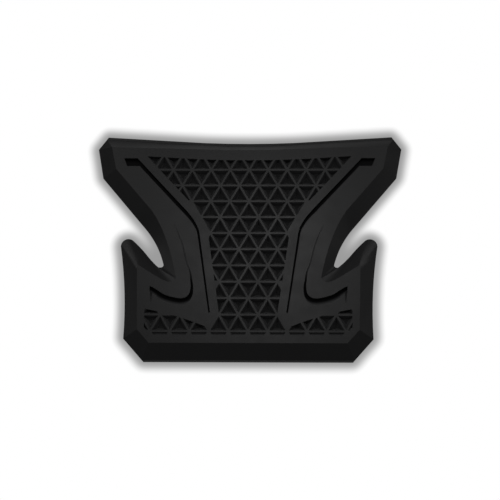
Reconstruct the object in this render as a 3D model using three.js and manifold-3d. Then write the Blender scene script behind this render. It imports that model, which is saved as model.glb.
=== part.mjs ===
// A motorcycle tank pad: one moulded rubber piece that is stuck to the rear of a fuel tank.
// It lies flat on its back. +X is to the right, +Y is towards the wide upper edge and +Z leaves the face.
// The origin is under the middle of its box. All sizes are in millimetres.
import * as THREE from "three";
import { mergeVertices } from "three/addons/utils/BufferGeometryUtils.js";
import Module from "manifold-3d";

const wasm = await Module();
wasm.setup();

// Overall size
const WIDTH = 200; // across the upper corners
const HEIGHT = 150.7; // from the lower edge to the upper corners
const THICKNESS = 5.5; // from the back to the raised face
const LIP = 1.3; // the upright edge below the bevel
const TOP_FLANGE = 1.5; // the flat strip outside the bevel along the upper edge
const BOTTOM_FLANGE = 1.1; // and along the lower edge
const BASE_WIDTH = 159.2; // across the lower corners
const WAIST_WIDTH = 110.1; // between the inner ends of the two side slots
const SLOT_HEIGHT = 63.4; // from the lower edge to the inner end of each slot

// The upper edge: a shallow hollow arc that runs on as straight lines to the corners
const TOP_ARC_RADIUS = 690;
const TOP_ARC_HALF = 43.8;

// The two upper wings
const CORNER_CUT_X = 6.3;
const CORNER_CUT_Y = 8.6;
const WING_END_SLANT = 3.7; // how far the end of the wing leans in over its height
const WING_END_DROP = 28.5; // from the upper corner to the wing's lower corner
const ROOT_OUT = 14; // from the waist out to the foot of the wing's straight lower edge
const ROOT_RISE = 26.2; // from the slot's end up to that foot
const WAIST_BOW = 1.85; // how far the edge bends in between the wing and the slot

// The slots, and the horns beside them
const SLOT_END_RADIUS = 1.7;
const SLOT_END_WIDTH = 5.1;
const SLOT_SIDE_BOW = 0.75;
const HORN_RADIUS = 4.9;
const HORN_INSET = 1.35; // the tip's centre, in from the lower corner
const HORN_RISE = 12.45; // the tip's centre, up from the slot's end
const SIDE_BOW = 1.6; // the hollow of the outer side below the horn

// The lower corners
const BASE_CUT_X = 13.2;
const BASE_CUT_Y = 14.9;

// The bevel: how far each corner of the raised face lies in from the corner of the edge below it
const BEVEL_TOP = 5.9;
const BEVEL_CORNER_X = 2.9;
const BEVEL_CORNER_Y = 8.1;
const BEVEL_WING_X = 8.8;
const BEVEL_WING_Y = 5.3;
const BEVEL_ROOT_X = 5.8;
const BEVEL_ROOT_Y = 9.3;
const BEVEL_WAIST_X = 8.6;
const BEVEL_WAIST_Y = 9.8;
const WAIST_TURN_IN = 3; // where the face's edge turns beside the waist, in from it
const WAIST_TURN_RISE = 19.5; // and up from the slot's end
const VALLEY_OUT = 6.6; // the hollow under the slot, out from the face's corner there
const VALLEY_DROP = 2;
const BEVEL_HORN_X = 7.8;
const BEVEL_HORN_DROP = 12.95;
const BEVEL_SIDE = 9;
const BEVEL_BASE_RISE = 5.3;
const BEVEL_LOW_X = 3.5;
const BEVEL_BOTTOM = 11.5;

// The lattice panel, whose ribs are level with the face
const PANEL_DRAFT = 6; // degrees
const PANEL_LOW_DRAFT = 45; // degrees, along the panel's lower edge
const PANEL_TOP = 12.85; // from the pad's upper edge
const PANEL_TIP = 32.7; // from the wing's end in to the panel's pointed tip
const ELBOW_TOP_IN = 17.6; // where the panel's side starts to turn, in from the waist
const ELBOW_TOP_RISE = 40.2; // and up from the slot's end
const ELBOW_LOW_IN = 28.6;
const ELBOW_LOW_RISE = 20.9;
const LEG_HALF = 18.8; // half the panel's width at the foot of its narrow part
const LEG_RISE = 15.3; // that foot, up from the panel's lower edge
const FOOT_OUT = 8.5; // the lowest point of the foot beside it, out from there
const FOOT_RISE = 5.55;
const FOOT_CORNER_OUT = 0.6;
const FOOT_CORNER_RISE = 6.1;
const SIDE_BORDER = 4.4; // the flat border beside the panel's side tongues
const BOTTOM_BORDER = 5.2;
const TONGUE_RISE = 16.9; // the tongue's height at its outer end
const TONGUE_BULGE = 1; // the bend of the tongue's upper edge
const TONGUE_CUT_X = 4.1;
const TONGUE_CUT_Y = 4.9;

// The lattice: level ribs with a zigzag of ribs between them
const CELL_PITCH = 12.44;
const ROW_PITCH = (CELL_PITCH * Math.sqrt(3)) / 2; // the triangles have equal sides
const RIB_WIDTH = 1.2;
const FIRST_RIB = 2.3; // the lowest rib's middle above the panel's lower edge
const POCKET_DEPTH = 3.6;
const POCKET_DRAFT = 25; // degrees
const POCKET_FILLET = 0.6;
const LEAST_SHARE = 0.09; // of a cell, inside the panel, for a pocket to be moulded there

// The groove between the lattice's rim and the wing, with a wider pocket at its upper end
const RIM_WIDTH = 5.5;
const GROOVE_DEPTH = 3.4;
const GROOVE_END_DEPTH = 1.8; // at its lower end
const GROOVE_DRAFT = 4; // degrees
const GROOVE_WIDE = 2.6;
const GROOVE_NARROW = 1.1;
const GROOVE_TAPER = 28; // the length over which it narrows, from the start of the elbow
const END_DROP = 15.85; // the end pocket's upper edge below the pad's corners
const END_HEIGHT = 5.5;
const END_REACH = 17.6; // from the wing's end in to the end pocket
const END_SLANT = 2.1;

// The hook-shaped groove round the lobe under the slot, which fades upwards into a faint crease.
// Its upper edge goes through these places, out from the waist and up from the slot's end.
const HOOK = [
  { out: 8.2, up: -14.8, width: 3.6, depth: 3 },
  { out: 3.6, up: -17.3, width: 4.2, depth: 3 },
  { out: -1.5, up: -20.5, width: 4.5, depth: 3 },
  { out: -8.6, up: -22.5, width: 4.8, depth: 3 },
  { out: -13.7, up: -22.7, width: 4.4, depth: 3 },
  { out: -17, up: -20.3, width: 2.6, depth: 3 },
  { out: -18.1, up: -15.6, width: 1.7, depth: 2.4 },
  { out: -17.7, up: -11.1, width: 1.4, depth: 1.8 },
  { out: -17.1, up: -5.8, width: 1, depth: 0.7 },
  { out: -14.8, up: 0.8, width: 0.8, depth: 0.4 },
  { out: -11.7, up: 12.8, width: 0.8, depth: 0.35 },
  { out: -6.5, up: 26, width: 0.5, depth: 0.1 },
];
const HOOK_STEPS = 40;
const HOOK_END_HEIGHT = 4.2; // the hook's outer end is upright
const HOOK_END_SHARE = 0.2; // the share of the steps over which its lower edge turns square to its way
const HOOK_SLOPE = 0.25; // the share of its width under the sloping lower wall
const WALL_LEAN = 0.1; // the share of a groove's width under its steeper wall

// The short nick that runs down from the hook's outer end
const NICK_START = 0.8; // how far below the hook's corner it starts
const NICK_LENGTH = 10.5;
const NICK_LEAN = 0.8;
const NICK_WIDTH = 2.2;
const NICK_END_WIDTH = 0.5;
const NICK_DEPTH = 1.8;
const NICK_END_DEPTH = 0.2;

const ABOVE = 1; // how far a cutter stands above the face
const SAME_PLACE = 1e-4; // points closer than this are one

const at = (x, y) => new THREE.Vector2(x, y);
const moved = (p, x, y) => at(p.x + x, p.y + y);
const tangentOf = (angle) => Math.tan((angle * Math.PI) / 180);
const line = (a, b) => new THREE.LineCurve(a, b);
const stay = (p) => new THREE.LineCurve(p, p);
const bend = (a, control, b) => new THREE.QuadraticBezierCurve(a, control, b);

// A curve from a to b whose middle lies to the right of its way by the given bow.
function bowed(a, b, bow) {
  const way = b.clone().sub(a);
  const right = at(way.y, -way.x).normalize();
  const middle = a.clone().add(b).multiplyScalar(0.5);
  return bend(a, middle.addScaledVector(right, 2 * bow), b);
}

// Where the line through a and b crosses the line through c and d.
function crossing(a, b, c, d) {
  const first = b.clone().sub(a);
  const second = d.clone().sub(c);
  const share = c.clone().sub(a).cross(second) / first.cross(second);
  return a.clone().addScaledVector(first, share);
}

// The points of an open or closed way moved to its left, each by its own distance, with mitred corners.
function offset(points, distanceAt, closed = false) {
  const count = points.length;
  return points.map((p, i) => {
    const before = points[closed ? (i + count - 1) % count : Math.max(i - 1, 0)];
    const after = points[closed ? (i + 1) % count : Math.min(i + 1, count - 1)];
    const into = before === p ? after.clone().sub(p) : p.clone().sub(before);
    const out = after === p ? into.clone() : after.clone().sub(p);
    into.normalize();
    out.normalize();
    const left = at(-into.y - out.y, into.x + out.x).normalize();
    const mitre = 1 / left.dot(at(-into.y, into.x));
    return p.clone().addScaledVector(left, distanceAt(i) * mitre);
  });
}

function solidOf(positions, faces) {
  const loose = new THREE.BufferGeometry();
  loose.setAttribute("position", new THREE.Float32BufferAttribute(positions, 3));
  loose.setIndex(faces);
  const merged = mergeVertices(loose, SAME_PLACE);
  const index = merged.index.array;
  const kept = [];
  for (let i = 0; i < index.length; i += 3) {
    const [a, b, c] = index.slice(i, i + 3);
    if (a !== b && b !== c && c !== a) {
      kept.push(a, b, c);
    }
  }
  const vertProperties = merged.attributes.position.array;
  return new wasm.Manifold(new wasm.Mesh({ numProp: 3, vertProperties, triVerts: new Uint32Array(kept) }));
}

// The faces of one closed shell through counter-clockwise outlines of as many points each, lowest first.
function addShell(positions, faces, outlines) {
  const count = outlines[0].points.length;
  const first = positions.length / 3;
  for (const { points, z } of outlines) {
    for (const p of points) {
      positions.push(p.x, p.y, z);
    }
  }
  for (let level = 0; level + 1 < outlines.length; level++) {
    for (let i = 0; i < count; i++) {
      const a = first + level * count + i;
      const b = first + level * count + ((i + 1) % count);
      faces.push(a, b, b + count, a, b + count, a + count);
    }
  }
  const top = first + (outlines.length - 1) * count;
  for (const [a, b, c] of THREE.ShapeUtils.triangulateShape(outlines[0].points, [])) {
    faces.push(first + a, first + c, first + b);
  }
  for (const [a, b, c] of THREE.ShapeUtils.triangulateShape(outlines.at(-1).points, [])) {
    faces.push(top + a, top + b, top + c);
  }
}

function loft(outlines) {
  const positions = [];
  const faces = [];
  addShell(positions, faces, outlines);
  return solidOf(positions, faces);
}

// A groove's cutter. Each section goes from its edge a to its edge b, which is to the left of the groove's way,
// and its floor lies between the two leans.
function channel(sections) {
  const positions = [];
  const faces = [];
  const corners = 6;
  for (const { a, b, depth, leanA, leanB } of sections) {
    const floorA = a.clone().lerp(b, leanA);
    const floorB = b.clone().lerp(a, leanB);
    positions.push(a.x, a.y, THICKNESS + ABOVE, a.x, a.y, THICKNESS);
    positions.push(floorA.x, floorA.y, THICKNESS - depth, floorB.x, floorB.y, THICKNESS - depth);
    positions.push(b.x, b.y, THICKNESS, b.x, b.y, THICKNESS + ABOVE);
  }
  for (let section = 0; section + 1 < sections.length; section++) {
    for (let i = 0; i < corners; i++) {
      const p = section * corners + i;
      const q = section * corners + ((i + 1) % corners);
      faces.push(p, q, q + corners, p, q + corners, p + corners);
    }
  }
  const last = (sections.length - 1) * corners;
  for (let i = 1; i + 1 < corners; i++) {
    faces.push(0, i + 1, i, last, last + i, last + i + 1);
  }
  return solidOf(positions, faces);
}

// The same section on the other half. Its edges change places, so that its cutter's faces still look out.
function mirrored({ a, b, depth, leanA, leanB }) {
  return { a: at(-b.x, b.y), b: at(-a.x, a.y), depth, leanA: leanB, leanB: leanA };
}

// The whole counter-clockwise outline from the right half's points, which run clockwise from the top middle.
function bothHalves(right) {
  const fresh = (p, i, all) => i === 0 || p.distanceTo(all[i - 1]) > SAME_PLACE;
  const left = right.map((p) => at(-p.x, p.y)).reverse();
  return [...right, ...left.slice(0, -1)].filter(fresh).reverse();
}

// Places that more than one feature uses, on the right half, measured up from the lower edge
const wingEnd = WIDTH / 2;
const waist = WAIST_WIDTH / 2;
const side = BASE_WIDTH / 2;
const cornerX = wingEnd - CORNER_CUT_X;
const topSlope = TOP_ARC_HALF / TOP_ARC_RADIUS;
const arcRise = (topSlope * TOP_ARC_HALF) / 2;
const topMiddle = HEIGHT - arcRise - topSlope * (cornerX - TOP_ARC_HALF);
const faceSide = side - BEVEL_SIDE;
const panelLow = BEVEL_BOTTOM + BOTTOM_BORDER;

// The upper edge's arc, moved down by a drop, and the place on its straight part at a distance from the middle.
const topArc = (drop) =>
  bend(
    at(0, topMiddle - drop),
    at(TOP_ARC_HALF / 2, topMiddle - drop),
    at(TOP_ARC_HALF, topMiddle + arcRise - drop),
  );
const topAt = (x, drop) => at(x, topMiddle + arcRise + topSlope * (x - TOP_ARC_HALF) - drop);

// Each stretch of the right half's edge, with the stretch of the raised face that its bevel climbs to. Where a flat
// strip lies between the two, the bevel starts from its own foot.
function bevelStretches() {
  const corner = topAt(cornerX, 0);
  const cornerLow = at(wingEnd, HEIGHT - CORNER_CUT_Y);
  const wingLow = at(wingEnd - WING_END_SLANT, HEIGHT - WING_END_DROP);
  const root = at(waist + ROOT_OUT, SLOT_HEIGHT + ROOT_RISE);
  const slotIn = at(waist, SLOT_HEIGHT);
  const slotEnd = moved(slotIn, SLOT_END_RADIUS, 0);
  const horn = at(side - HORN_INSET, SLOT_HEIGHT + HORN_RISE);
  const slotLow = moved(slotEnd, 0, -SLOT_END_RADIUS);
  const slotOut = at(waist + SLOT_END_WIDTH, slotLow.y);
  const apart = horn.clone().sub(slotOut);
  const way = apart.angle() + Math.asin(HORN_RADIUS / apart.length());
  const right = at(Math.sin(way), -Math.cos(way));
  const hornIn = horn.clone().addScaledVector(right, -HORN_RADIUS);
  const hornOut = moved(horn, HORN_RADIUS, 0);
  const quarter = Math.PI / 2;
  const slotTurn = new THREE.EllipseCurve(
    slotEnd.x, slotEnd.y, SLOT_END_RADIUS, SLOT_END_RADIUS, 2 * quarter, 3 * quarter, false,
  );
  const hornTurn = new THREE.EllipseCurve(
    horn.x, horn.y, HORN_RADIUS, HORN_RADIUS, way + quarter, 0, true,
  );
  const baseHigh = at(side, BASE_CUT_Y);
  const baseLow = at(side - BASE_CUT_X, 0);

  const footCorner = corner.clone().lerp(cornerLow, TOP_FLANGE / (corner.y - cornerLow.y));
  const footLow = baseLow.clone().lerp(baseHigh, BOTTOM_FLANGE / BASE_CUT_Y);
  const faceCorner = moved(corner, -BEVEL_CORNER_X, -BEVEL_CORNER_Y);
  const faceWing = moved(wingLow, -BEVEL_WING_X, BEVEL_WING_Y);
  const faceRoot = moved(root, -BEVEL_ROOT_X, BEVEL_ROOT_Y);
  const waistTurn = moved(slotIn, -WAIST_TURN_IN, WAIST_TURN_RISE);
  const faceWaist = moved(slotIn, -BEVEL_WAIST_X, -BEVEL_WAIST_Y);
  const valley = moved(faceWaist, VALLEY_OUT, -VALLEY_DROP);
  const faceHorn = at(side - BEVEL_HORN_X, horn.y - BEVEL_HORN_DROP);
  const faceBase = at(faceSide, BASE_CUT_Y + BEVEL_BASE_RISE);
  const faceLow = at(baseLow.x - BEVEL_LOW_X, BEVEL_BOTTOM);
  const underSlot = new THREE.SplineCurve([faceWaist, valley, faceHorn]);
  return [
    { edge: topArc(0), foot: topArc(TOP_FLANGE), face: topArc(BEVEL_TOP), steps: 6 },
    {
      edge: line(topAt(TOP_ARC_HALF, 0), corner),
      foot: line(topAt(TOP_ARC_HALF, TOP_FLANGE), footCorner),
      face: line(topAt(TOP_ARC_HALF, BEVEL_TOP), faceCorner),
      steps: 1,
    },
    { edge: line(corner, cornerLow), foot: line(footCorner, cornerLow), face: stay(faceCorner), steps: 1 },
    { edge: line(cornerLow, wingLow), face: line(faceCorner, faceWing), steps: 1 },
    { edge: line(wingLow, root), face: line(faceWing, faceRoot), steps: 1 },
    { edge: bowed(root, slotIn, WAIST_BOW), face: bend(faceRoot, waistTurn, faceWaist), steps: 12 },
    { edge: slotTurn, face: stay(faceWaist), steps: 5 },
    { edge: line(slotLow, slotOut), face: stay(faceWaist), steps: 1 },
    { edge: bowed(slotOut, hornIn, -SLOT_SIDE_BOW), face: underSlot, steps: 10 },
    { edge: hornTurn, face: stay(faceHorn), steps: 8 },
    { edge: bowed(hornOut, baseHigh, SIDE_BOW), face: line(faceHorn, faceBase), steps: 8 },
    { edge: line(baseHigh, baseLow), foot: line(baseHigh, footLow), face: line(faceBase, faceLow), steps: 1 },
  ];
}

// The body without its lattice and grooves. Its edge and its face have as many points, so the bevel is ruled.
function blank() {
  const edge = [];
  const foot = [];
  const face = [];
  for (const stretch of bevelStretches()) {
    const skip = edge.length > 0 ? 1 : 0;
    edge.push(...stretch.edge.getPoints(stretch.steps).slice(skip));
    foot.push(...(stretch.foot ?? stretch.edge).getPoints(stretch.steps).slice(skip));
    face.push(...stretch.face.getPoints(stretch.steps).slice(skip));
  }
  const whole = (right) => [...right, ...right.slice(1).map((p) => at(-p.x, p.y)).reverse()].reverse();
  return loft([
    { points: whole(edge), z: 0 },
    { points: whole(edge), z: LIP },
    { points: whole(foot), z: LIP },
    { points: whole(face), z: THICKNESS },
  ]);
}

// The lattice panel's side, from its pointed tip down to the foot of its narrow part.
function rimWay() {
  const tip = topAt(wingEnd - PANEL_TIP, PANEL_TOP);
  const elbowTop = at(waist - ELBOW_TOP_IN, SLOT_HEIGHT + ELBOW_TOP_RISE);
  const elbowLow = at(waist - ELBOW_LOW_IN, SLOT_HEIGHT + ELBOW_LOW_RISE);
  const legEnd = at(LEG_HALF, panelLow + LEG_RISE);
  const turn = bend(elbowTop, crossing(tip, elbowTop, legEnd, elbowLow), elbowLow);
  return { tip, elbow: turn.getPoints(10), legEnd };
}

function panelOutline() {
  const { tip, elbow, legEnd } = rimWay();
  const footCorner = at(LEG_HALF + FOOT_CORNER_OUT, panelLow + FOOT_CORNER_RISE);
  const foot = at(LEG_HALF + FOOT_OUT, panelLow + FOOT_RISE);
  const tongueX = faceSide - SIDE_BORDER;
  const tongueTop = at(tongueX, panelLow + TONGUE_RISE);
  return bothHalves([
    ...topArc(PANEL_TOP).getPoints(6),
    tip,
    ...elbow,
    ...bend(legEnd, footCorner, foot).getPoints(8),
    ...bowed(foot, tongueTop, -TONGUE_BULGE).getPoints(6),
    at(tongueX, panelLow + TONGUE_CUT_Y),
    at(tongueX - TONGUE_CUT_X, panelLow),
  ]);
}

// The panel's space down to a floor, with the draft of its walls.
function panelSpace(outline, floor) {
  const draft = (i) => (outline[i].y > panelLow ? PANEL_DRAFT : PANEL_LOW_DRAFT);
  return loft([
    { points: offset(outline, (i) => (THICKNESS - floor) * tangentOf(draft(i)), true), z: floor },
    { points: outline, z: THICKNESS },
    { points: outline, z: THICKNESS + ABOVE },
  ]);
}

// A triangle with each side moved in by a distance.
function insetTriangle(corners, distance) {
  const opposite = corners.map((_, i) => corners[(i + 1) % 3].distanceTo(corners[(i + 2) % 3]));
  const around = opposite[0] + opposite[1] + opposite[2];
  const centre = at(0, 0);
  corners.forEach((p, i) => centre.addScaledVector(p, opposite[i] / around));
  const doubleArea = corners[1].clone().sub(corners[0]).cross(corners[2].clone().sub(corners[0]));
  const scale = 1 - (distance * around) / doubleArea;
  return corners.map((p) => centre.clone().lerp(p, scale));
}

function isInside(outline, p) {
  let inside = false;
  outline.forEach((a, i) => {
    const b = outline[(i + 1) % outline.length];
    if (a.y > p.y !== b.y > p.y && p.x < a.x + ((b.x - a.x) * (p.y - a.y)) / (b.y - a.y)) {
      inside = !inside;
    }
  });
  return inside;
}

// The share of a triangle that lies inside an outline, from an even spread of places in it.
function shareInside(outline, corners) {
  const parts = 12;
  let inside = 0;
  let tried = 0;
  for (let i = 0; i < parts; i++) {
    for (let j = 0; i + j < parts; j++) {
      const u = (i + 1 / 3) / parts;
      const v = (j + 1 / 3) / parts;
      const p = at(0, 0).addScaledVector(corners[0], 1 - u - v).addScaledVector(corners[1], u);
      tried++;
      if (isInside(outline, p.addScaledVector(corners[2], v))) {
        inside++;
      }
    }
  }
  return inside / tried;
}

// The lattice's triangles, between each level rib and the next. Every second row is half a pitch aside.
function cells(outline) {
  const found = [];
  const topRow = Math.ceil((HEIGHT - panelLow - FIRST_RIB) / ROW_PITCH);
  const reach = Math.ceil(wingEnd / CELL_PITCH);
  for (let row = -1; row < topRow; row++) {
    const low = panelLow + FIRST_RIB + row * ROW_PITCH;
    const high = low + ROW_PITCH;
    const aside = row % 2 === 0 ? 0 : CELL_PITCH / 2;
    for (let i = -reach; i <= reach; i++) {
      const x = i * CELL_PITCH + aside;
      const middle = x + CELL_PITCH / 2;
      found.push([at(x, low), at(x + CELL_PITCH, low), at(middle, high)]);
      found.push([at(x, low), at(middle, high), at(middle - CELL_PITCH, high)]);
    }
  }
  return found
    .map((corners) => insetTriangle(corners, RIB_WIDTH / 2))
    .filter((corners) => shareInside(outline, corners) > LEAST_SHARE);
}

function pockets(outline, floor) {
  const positions = [];
  const faces = [];
  const wallInset = (POCKET_DEPTH - POCKET_FILLET) * tangentOf(POCKET_DRAFT);
  for (const mouth of cells(outline)) {
    addShell(positions, faces, [
      { points: insetTriangle(mouth, wallInset + POCKET_FILLET), z: floor },
      { points: insetTriangle(mouth, wallInset), z: floor + POCKET_FILLET },
      { points: mouth, z: THICKNESS },
      { points: mouth, z: THICKNESS + 2 * ABOVE },
    ]);
  }
  return solidOf(positions, faces);
}

// The pockets end at the panel's outline.
function latticeCut() {
  const outline = panelOutline();
  const floor = THICKNESS - POCKET_DEPTH;
  return panelSpace(outline, floor - ABOVE).intersect(pockets(outline, floor));
}

// The groove keeps the rim's width off the lattice. Its end pocket lies level under the wing's upper corner.
function rimGroove() {
  const { tip, elbow, legEnd } = rimWay();
  const way = [tip, ...elbow, legEnd];
  const along = [0];
  for (let i = 2; i < way.length; i++) {
    along.push(along.at(-1) + way[i].distanceTo(way[i - 1]));
  }
  const narrowing = (distance) => Math.min(distance / GROOVE_TAPER, 1);
  const widthAt = (i) => THREE.MathUtils.lerp(GROOVE_WIDE, GROOVE_NARROW, narrowing(i < 1 ? 0 : along[i - 1]));
  const near = offset(way, () => RIM_WIDTH);
  const far = offset(way, (i) => RIM_WIDTH + widthAt(i));
  const high = HEIGHT - END_DROP;
  const low = high - END_HEIGHT;
  const reach = wingEnd - END_REACH;
  const sections = [
    { a: at(reach, high), b: at(reach - END_SLANT, low) },
    { a: crossing(near[0], near[1], at(0, high), at(1, high)), b: crossing(far[0], far[1], at(0, low), at(1, low)) },
    ...near.slice(1).map((a, i) => ({ a, b: far[i + 1] })),
  ];
  return sections.map(({ a, b }, i) => {
    const depth = i + 1 < sections.length ? GROOVE_DEPTH : GROOVE_END_DEPTH;
    const lean = (depth * tangentOf(GROOVE_DRAFT)) / a.distanceTo(b);
    return { a, b, depth, leanA: lean, leanB: lean };
  });
}

function hookGroove() {
  const places = HOOK.map(({ out, up }) => at(waist + out, SLOT_HEIGHT + up));
  const sizes = new THREE.SplineCurve(HOOK.map(({ width, depth }) => at(width, depth)));
  const upper = new THREE.SplineCurve(places);
  const edge = upper.getPoints(HOOK_STEPS);
  const profile = sizes.getPoints(HOOK_STEPS);
  const below = (p) => moved(p, 0, -HOOK_END_HEIGHT);
  const turned = (i) => Math.min(i / (HOOK_END_SHARE * HOOK_STEPS), 1);
  const lower = offset(edge, (i) => profile[i].x).map((b, i) => below(edge[i]).lerp(b, turned(i)));
  return edge.map((a, i) => ({ a, b: lower[i], depth: profile[i].y, leanA: WALL_LEAN, leanB: HOOK_SLOPE }));
}

function nick() {
  const top = at(waist + HOOK[0].out, SLOT_HEIGHT + HOOK[0].up - NICK_START);
  const low = moved(top, -NICK_LEAN, -NICK_LENGTH);
  return [
    { a: moved(top, -NICK_WIDTH, 0), b: top, depth: NICK_DEPTH, leanA: HOOK_SLOPE, leanB: WALL_LEAN },
    { a: moved(low, -NICK_END_WIDTH, 0), b: low, depth: NICK_END_DEPTH, leanA: HOOK_SLOPE, leanB: WALL_LEAN },
  ];
}

function tankPad() {
  const pad = blank().subtract(latticeCut());
  return [rimGroove(), hookGroove(), nick()].reduce(
    (rest, sections) => rest.subtract(channel(sections)).subtract(channel(sections.map(mirrored))),
    pad,
  );
}

const cut = tankPad().getMesh();
const geometry = new THREE.BufferGeometry();
geometry.setAttribute("position", new THREE.BufferAttribute(cut.vertProperties, 3));
geometry.setIndex(new THREE.BufferAttribute(cut.triVerts, 1));
geometry.computeVertexNormals();

const rubber = new THREE.MeshStandardMaterial({ color: 0x1c1c1d, roughness: 0.55, metalness: 0 });
const pad = new THREE.Mesh(geometry, rubber);
pad.name = "tank_pad";
pad.position.set(0, -HEIGHT / 2, 0);

const part = new THREE.Group();
part.add(pad);
export default part;
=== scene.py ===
# A moulded rubber tank pad, lying on its back on a white floor, seen from above and a little from
# its lower edge.
# Sizes are in metres and angles in degrees unless a name says otherwise.
import math

import bmesh
import bpy
import numpy as np
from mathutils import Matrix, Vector
from mathutils.bvhtree import BVHTree


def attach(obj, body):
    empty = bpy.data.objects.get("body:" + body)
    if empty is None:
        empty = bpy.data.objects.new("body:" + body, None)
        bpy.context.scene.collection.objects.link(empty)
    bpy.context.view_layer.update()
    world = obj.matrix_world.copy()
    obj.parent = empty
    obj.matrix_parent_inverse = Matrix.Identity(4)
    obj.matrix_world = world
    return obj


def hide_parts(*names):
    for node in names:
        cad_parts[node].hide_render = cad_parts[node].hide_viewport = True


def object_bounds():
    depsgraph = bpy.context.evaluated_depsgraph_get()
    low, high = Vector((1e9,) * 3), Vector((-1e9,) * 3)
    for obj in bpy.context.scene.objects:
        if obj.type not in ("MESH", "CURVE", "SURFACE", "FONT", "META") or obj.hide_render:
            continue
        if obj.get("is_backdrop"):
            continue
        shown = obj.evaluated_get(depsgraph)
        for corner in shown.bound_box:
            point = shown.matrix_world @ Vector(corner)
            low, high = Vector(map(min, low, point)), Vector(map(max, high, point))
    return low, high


# Camera
CAMERA_PLACE = (0.02315, -0.21897, 0.80736)
CAMERA_TURN = (15.07863, 1.46791, 0.45309)
LENS = 92.9
SENSOR = 36.0  # millimetres, like the lens
SIGHT = 20.0

# Heights of the moulded form over its back
LIP_HEIGHT = 0.0013
GROOVE_FLOOR = 0.0021
HOOK_TOP = 0.0025  # the hooked grooves' floors lie between the straight grooves' floors and this
NICK_FLOOR = 0.0037  # the small nick at each hook's outer end
SHALLOW = 0.0042  # a pocket that ends above this has sloping walls alone
FACE_HEIGHT = 0.0055

# How the form is rounded and told apart
EDGE_ROUND = 0.00018
ROUND_STEPS = 2
SHARP = 11  # an edge that turns more than this is rounded
FLAT = 1.2  # faces that turn less than this are joined
WELD = 2e-6
LEVEL = 0.98  # the upward share of a recess floor's normal
LIT = 0.2  # the least share towards the upper edge in the normal of a wall that catches the light
HOOK_RISE = 0.8  # the share of its depth by which a hook's floor rises to the lower edge

# The material places of the moulded piece
SATIN, POCKET_WALL, POCKET_SLOPE, POCKET_BOTTOM, GROOVE = range(5)

# Rubber: the polished outside and the matt recesses, whose pocket walls hold painted light and whose
# grooves hold painted shade
SATIN_COLOUR = (0.003, 0.003, 0.0031, 1)
SATIN_ROUGHNESS = 0.33
SATIN_SPECULAR = 0.1
# The pocket walls' and slopes' colours are painted light, lighter than the rubber itself
WALL_PAINTED_LIGHT = (0.012, 0.012, 0.0123, 1)
FLOOR_COLOUR = (0.0032, 0.0032, 0.0033, 1)
SLOPE_PAINTED_LIGHT = (0.017, 0.017, 0.0173, 1)
# The grooves' colours are painted shade deep down and painted light at the top
GROOVE_PAINTED_SHADE = (0.0019, 0.0019, 0.002, 1)
GROOVE_TOP_PAINTED_LIGHT = (0.02, 0.02, 0.0204, 1)
GROOVE_DARK = 0.0037  # a groove has its painted shade's colour up to this height
GROOVE_LIGHT = 0.0053  # and its painted light's colour from this height
MATT_ROUGHNESS = 0.6
MATT_SPECULAR = 0.05
GROOVE_SPECULAR = 0.02
ROUGHNESS_CHANGE = 0.07
CLOUD_SIZE = 0.009
CLOUD_DETAIL = 2
CLOUD_RANGE = (0.3, 0.7)  # nearly all of the noise lies in this range
GRAIN_SIZE = 0.0007
GRAIN_DETAIL = 1
GRAIN_DEPTH = 0.000006

# Light: the world's level, and for each lamp the degrees off the vertical, the degrees round from
# the right, the distance, the size and the power in watts
WORLD_LEVEL = 0.49
LAMPS = {
    "upper_left": (36, 135, 1.2, 0.5, 2.9),
    "upper_right": (36, 45, 1.2, 0.5, 2.9),
    "right_side": (56, 0, 1.2, 0.5, 0.75),
    "left_low": (76, 180, 1.2, 0.5, 1.25),
    "above": (12, 90, 0.7, 0.2, 0.47),
    "highlight": (16, 90, 0.5, 0.1, 0.22),
}

# The white floor and the painted shade round the pad on it, the same all round
PAPER = (0.9, 0.9, 0.9, 1)
FLOOR_REACH = 3.0
FLOOR_STEP = 0.001
SHADE_MARGIN = 0.018
SHADE_SPREAD = 0.0042  # the shade is the footprint made this much wider, moved and blurred
SHADE_SHIFT = 0.0004
SHADE_BLUR = 0.0022
BLUR_REACH = 3 * SHADE_BLUR
SHADE_DEPTH = 0.39  # the share of the screen's white that the full shade takes away
SHADE_END = 0.03  # the shade fades out to nothing at this share of itself
SHADE_WHOLE = 0.09  # and is whole from this share up


def material(name):
    """An empty material, with its node tree and its output."""
    made = bpy.data.materials.new(name)
    made.use_nodes = True
    made.node_tree.nodes.clear()
    output = made.node_tree.nodes.new("ShaderNodeOutputMaterial")
    return made, made.node_tree, output


def rubber(name, colour, roughness, specular):
    """Moulded rubber: its polish changes a little in soft clouds, and it has a fine grain."""
    made, tree, output = material(name)
    place = tree.nodes.new("ShaderNodeTexCoord")
    shader = tree.nodes.new("ShaderNodeBsdfPrincipled")
    shader.inputs["Base Color"].default_value = colour
    shader.inputs["Specular IOR Level"].default_value = specular
    polish = tree.nodes.new("ShaderNodeMapRange")
    polish.inputs["From Min"].default_value = CLOUD_RANGE[0]
    polish.inputs["From Max"].default_value = CLOUD_RANGE[1]
    polish.inputs["To Min"].default_value = roughness - ROUGHNESS_CHANGE / 2
    polish.inputs["To Max"].default_value = roughness + ROUGHNESS_CHANGE / 2
    tree.links.new(noise(tree, place, CLOUD_SIZE, CLOUD_DETAIL), polish.inputs["Value"])
    tree.links.new(polish.outputs["Result"], shader.inputs["Roughness"])
    grain = tree.nodes.new("ShaderNodeBump")
    grain.inputs["Distance"].default_value = GRAIN_DEPTH
    tree.links.new(noise(tree, place, GRAIN_SIZE, GRAIN_DETAIL), grain.inputs["Height"])
    tree.links.new(grain.outputs["Normal"], shader.inputs["Normal"])
    tree.links.new(shader.outputs["BSDF"], output.inputs["Surface"])
    return made


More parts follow.
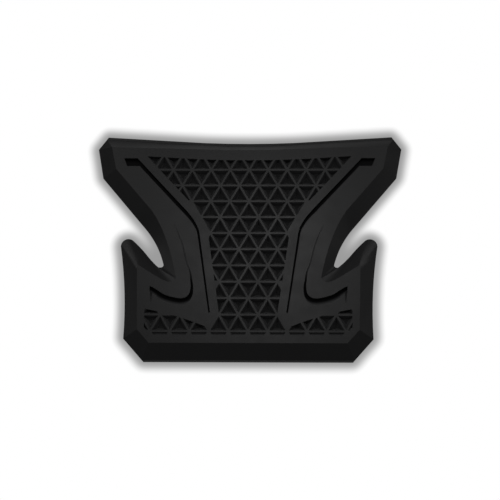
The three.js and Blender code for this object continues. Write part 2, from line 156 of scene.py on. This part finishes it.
def groove_rubber_painted_shade():
    """Matt rubber with painted shade: darker where it lies deeper, with painted light at the top."""
    made = rubber("groove_rubber_painted_shade", GROOVE_PAINTED_SHADE, MATT_ROUGHNESS, GROOVE_SPECULAR)
    tree = made.node_tree
    place = tree.nodes["Texture Coordinate"]
    split = tree.nodes.new("ShaderNodeSeparateXYZ")
    tree.links.new(place.outputs["Object"], split.inputs["Vector"])
    height = tree.nodes.new("ShaderNodeMapRange")
    height.inputs["From Min"].default_value = GROOVE_DARK
    height.inputs["From Max"].default_value = GROOVE_LIGHT
    tree.links.new(split.outputs["Z"], height.inputs["Value"])
    blend = tree.nodes.new("ShaderNodeMix")
    blend.data_type = "RGBA"
    tree.links.new(height.outputs["Result"], blend.inputs["Factor"])
    blend.inputs["A"].default_value = GROOVE_PAINTED_SHADE
    blend.inputs["B"].default_value = GROOVE_TOP_PAINTED_LIGHT
    tree.links.new(blend.outputs["Result"], tree.nodes["Principled BSDF"].inputs["Base Color"])
    return made


def noise(tree, place, size, detail):
    """Even noise whose spots are about the given size."""
    spots = tree.nodes.new("ShaderNodeTexNoise")
    spots.inputs["Scale"].default_value = 1 / size
    spots.inputs["Detail"].default_value = detail
    tree.links.new(place.outputs["Object"], spots.inputs["Vector"])
    return spots.outputs["Fac"]


def rounded_copy(source, name):
    """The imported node's form with its moulded edges rounded, as a new piece."""
    mesh = bpy.data.meshes.new(name)
    shape = bmesh.new()
    shape.from_mesh(source.data)
    bmesh.ops.remove_doubles(shape, verts=shape.verts, dist=WELD)
    slant_hooks(shape)
    bmesh.ops.dissolve_limit(shape, angle_limit=math.radians(FLAT), verts=shape.verts, edges=shape.edges)
    mark_recesses(shape)
    shape.to_mesh(mesh)
    shape.free()
    piece = bpy.data.objects.new(name, mesh)
    bpy.context.scene.collection.objects.link(piece)
    rounding = piece.modifiers.new("rounding", "BEVEL")
    rounding.width = EDGE_ROUND
    rounding.segments = ROUND_STEPS
    rounding.limit_method = "ANGLE"
    rounding.angle_limit = math.radians(SHARP)
    rounding.use_clamp_overlap = True
    evening = piece.modifiers.new("evening", "WEIGHTED_NORMAL")
    evening.mode = "FACE_AREA"
    evening.keep_sharp = True
    return piece


def lowest(faces):
    return min(vert.co.z for face in faces for vert in face.verts)


def recesses(shape):
    """The faces of each recess. The outside's own slopes all reach down to the lip."""
    waiting = {face for face in shape.faces if LIP_HEIGHT + WELD < lowest([face]) < FACE_HEIGHT - WELD}
    while waiting:
        yield grown(waiting.pop(), waiting)


def slant_hooks(shape):
    """Lifts the hooked grooves' floors towards their lower edge, where the light reaches them."""
    hooks = [recess for recess in recesses(shape) if GROOVE_FLOOR + WELD < lowest(recess) < HOOK_TOP]
    floors = [face for recess in hooks for face in recess if face.normal.z > LEVEL]
    for vert in {vert for face in floors for vert in face.verts if vert.co.z < NICK_FLOOR - WELD}:
        facing = max([0] + [face.normal.y for face in vert.link_faces if face.normal.z < LEVEL])
        vert.co.z += HOOK_RISE * facing * (FACE_HEIGHT - vert.co.z)
    shape.normal_update()


def mark_recesses(shape):
    """Gives the grooves and the lattice's pockets their matt materials, with painted shade in the grooves
    and painted light on the pockets' walls.
    """
    for face in shape.faces:
        face.smooth = True
    for recess in recesses(shape):
        floor_height = lowest(recess)
        groove = GROOVE_FLOOR - WELD < floor_height < HOOK_TOP
        for face in recess:
            # grooves get painted shade, darker deeper
            if groove:
                face.material_index = GROOVE
            elif face.normal.z > LEVEL and floor_height < SHALLOW:
                face.material_index = POCKET_BOTTOM
            # walls that face the upper edge get the lightest painted light
            elif face.normal.y > LIT and floor_height < SHALLOW:
                face.material_index = POCKET_SLOPE
            # the other walls, and shallow slots whole, get painted light
            else:
                face.material_index = POCKET_WALL


def grown(first, waiting):
    """All the waiting faces that hang together with the first one, which stop waiting."""
    group = [first]
    for face in group:
        beside = {other for edge in face.edges for other in edge.link_faces} & waiting
        waiting -= beside
        group.extend(beside)
    return group


def floor_lines(half):
    """The grid lines of one direction: fine under and round the pad, and one far out on each side."""
    reach = half + SHADE_MARGIN
    fine = np.linspace(-reach, reach, 2 * round(reach / FLOOR_STEP) + 1)
    return np.concatenate([[-FLOOR_REACH], fine, [FLOOR_REACH]])


def blurred(values, axis):
    """The values of an even grid, blurred along one axis."""
    reach = round(BLUR_REACH / FLOOR_STEP)
    offsets = np.arange(-reach, reach + 1) * FLOOR_STEP
    kernel = np.exp(-0.5 * (offsets / SHADE_BLUR) ** 2)
    kernel /= kernel.sum()
    return np.apply_along_axis(np.convolve, axis, values, kernel, mode="same")


def floor_tones(source, across, along):
    """How bright the floor looks at each grid point: white, less the pad's blurred painted shade."""
    tree = BVHTree.FromPolygons([vert.co for vert in source.data.vertices],
                                [face.vertices for face in source.data.polygons])
    gap = np.array([[tree.find_nearest((x, y - SHADE_SHIFT, 0))[3] for x in across] for y in along])
    shade = np.clip((SHADE_SPREAD - gap) / FLOOR_STEP + 0.5, 0, 1)
    shade = blurred(blurred(shade, 0), 1)
    shade *= np.clip((shade - SHADE_END) / (SHADE_WHOLE - SHADE_END), 0, 1)
    return linear(1 - SHADE_DEPTH * shade)


def linear(screen):
    """The linear light of a light screen value, by the sRGB curve."""
    return ((screen + 0.055) / 1.055) ** 2.4


def floor(source):
    """A flat sheet with a fine grid round the pad, whose points hold the floor's white less the painted
    shade there.
    """
    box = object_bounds()
    across = floor_lines(box[1][0])
    along = floor_lines(box[1][1])
    columns = len(across)
    verts = [(x, y, 0) for y in along for x in across]
    corners = [row * columns + column for row in range(len(along) - 1) for column in range(columns - 1)]
    faces = [(first, first + 1, first + columns + 1, first + columns) for first in corners]
    mesh = bpy.data.meshes.new("floor")
    mesh.from_pydata(verts, [], faces)
    tone = mesh.attributes.new("tone", "FLOAT", "POINT")
    tone.data.foreach_set("value", floor_tones(source, across, along).ravel())
    mesh.materials.append(white_floor())
    sheet = bpy.data.objects.new("floor", mesh)
    bpy.context.scene.collection.objects.link(sheet)
    sheet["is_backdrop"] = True


def white_floor():
    """White to look at, with the pad's painted shade, and plain white paper to the light."""
    made, tree, output = material("white_floor")
    tone = tree.nodes.new("ShaderNodeAttribute")
    tone.attribute_name = "tone"
    seen = tree.nodes.new("ShaderNodeEmission")
    tree.links.new(tone.outputs["Fac"], seen.inputs["Color"])
    paper = tree.nodes.new("ShaderNodeBsdfDiffuse")
    paper.inputs["Color"].default_value = PAPER
    mix = tree.nodes.new("ShaderNodeMixShader")
    rays = ("Is Camera Ray", "Is Glossy Ray", "Is Transmission Ray")
    tree.links.new(looked_at(tree, rays), mix.inputs["Fac"])
    tree.links.new(paper.outputs["BSDF"], mix.inputs[1])
    tree.links.new(seen.outputs["Emission"], mix.inputs[2])
    tree.links.new(mix.outputs["Shader"], output.inputs["Surface"])
    return made


def looked_at(tree, rays):
    """1 for the named kinds of ray and 0 for the others."""
    path = tree.nodes.new("ShaderNodeLightPath")
    total = path.outputs[rays[0]]
    for ray in rays[1:]:
        add = tree.nodes.new("ShaderNodeMath")
        add.operation = "ADD"
        add.use_clamp = True
        tree.links.new(total, add.inputs[0])
        tree.links.new(path.outputs[ray], add.inputs[1])
        total = add.outputs["Value"]
    return total


def lamp(name, tilt, turn, distance, size, power):
    """A square softbox that looks at the middle of the pad."""
    data = bpy.data.lights.new(name, "AREA")
    data.shape = "SQUARE"
    data.size = size
    data.energy = power
    flat = math.sin(math.radians(tilt))
    across = math.radians(turn)
    way = Vector((flat * math.cos(across), flat * math.sin(across), math.cos(math.radians(tilt))))
    box = bpy.data.objects.new(name, data)
    box.location = way * distance
    box.rotation_euler = (-way).to_track_quat("-Z", "Y").to_euler()
    bpy.context.scene.collection.objects.link(box)


def studio():
    """The world, which looks white itself but lights the pad at its own level, and the lamps."""
    world = bpy.data.worlds.new("studio")
    bpy.context.scene.world = world
    world.use_nodes = True
    tree = world.node_tree
    background = tree.nodes["Background"]
    background.inputs["Color"].default_value = (1, 1, 1, 1)
    strength = tree.nodes.new("ShaderNodeMapRange")
    strength.inputs["To Min"].default_value = WORLD_LEVEL
    strength.inputs["To Max"].default_value = 1
    tree.links.new(looked_at(tree, ("Is Camera Ray", "Is Transmission Ray")), strength.inputs["Value"])
    tree.links.new(strength.outputs["Result"], background.inputs["Strength"])
    for name, values in LAMPS.items():
        lamp(name, *values)


def camera():
    data = bpy.data.cameras.new("camera")
    data.sensor_width = SENSOR
    data.lens = LENS
    data.clip_end = SIGHT
    made = bpy.data.objects.new("camera", data)
    made.location = CAMERA_PLACE
    made.rotation_euler = [math.radians(angle) for angle in CAMERA_TURN]
    bpy.context.scene.collection.objects.link(made)
    bpy.context.scene.camera = made


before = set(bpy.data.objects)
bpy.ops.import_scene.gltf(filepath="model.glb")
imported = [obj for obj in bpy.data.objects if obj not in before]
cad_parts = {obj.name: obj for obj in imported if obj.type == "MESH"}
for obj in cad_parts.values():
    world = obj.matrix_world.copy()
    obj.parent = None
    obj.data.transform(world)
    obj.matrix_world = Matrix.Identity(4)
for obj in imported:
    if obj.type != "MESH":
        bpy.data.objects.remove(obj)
cad_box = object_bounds()
bpy.context.scene.view_settings.view_transform = "Standard"

pad = rounded_copy(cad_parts["tank_pad"], "moulded_pad")
for rubber_look in (
    rubber("satin_rubber", SATIN_COLOUR, SATIN_ROUGHNESS, SATIN_SPECULAR),
    rubber("pocket_wall_painted_light_rubber", WALL_PAINTED_LIGHT, MATT_ROUGHNESS, MATT_SPECULAR),
    rubber("pocket_slope_painted_light_rubber", SLOPE_PAINTED_LIGHT, MATT_ROUGHNESS, MATT_SPECULAR),
    rubber("pocket_floor_rubber", FLOOR_COLOUR, MATT_ROUGHNESS, MATT_SPECULAR),
    groove_rubber_painted_shade(),
):
    pad.data.materials.append(rubber_look)
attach(pad, "root")
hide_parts("tank_pad")

floor(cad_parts["tank_pad"])
studio()
camera()

[[list(corner) for corner in box] for box in (cad_box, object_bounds())]
